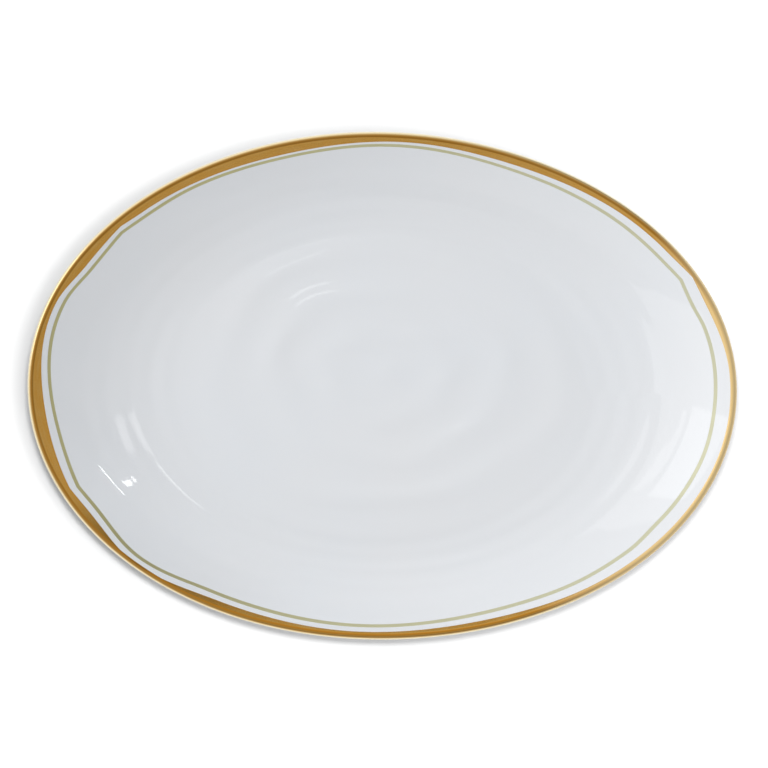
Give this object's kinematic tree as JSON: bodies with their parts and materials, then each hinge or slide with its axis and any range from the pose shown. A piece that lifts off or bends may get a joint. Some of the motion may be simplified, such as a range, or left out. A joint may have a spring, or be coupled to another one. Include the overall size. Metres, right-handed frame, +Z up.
{
  "type": "serving platter",
  "caption": "Oval coupe serving platter in glazed porcelain, with a flat well, a curved rising wall, a low foot ring and hand-painted gold bands at the rim.",
  "frame": {"origin": "on the table plane, under the centre of the platter", "axes": "+X along the platter, +Y across it, +Z up from the table through the open face"},
  "size_m": [0.38, 0.272, 0.036],
  "materials": {
    "biscuit": "bare white fired clay, ground smooth on the standing edge",
    "glaze": "clear glossy glaze over cool white porcelain",
    "gold": "fired gold, brushed on by hand and burnished",
    "pale_gold": "thin pale gilding worn bright on the lip",
    "olive_gold": "thin matt olive-gold line"
  },
  "bodies": {
    "root": {"porcelain_body": "biscuit", "foot_ring": "biscuit", "face_glaze": "glaze", "underside_glaze": "glaze", "recess_glaze": "glaze", "gold_rim_band": "gold", "gold_lip_edge": "pale_gold", "gold_hairline": "olive_gold"}
  },
  "joints": []
}
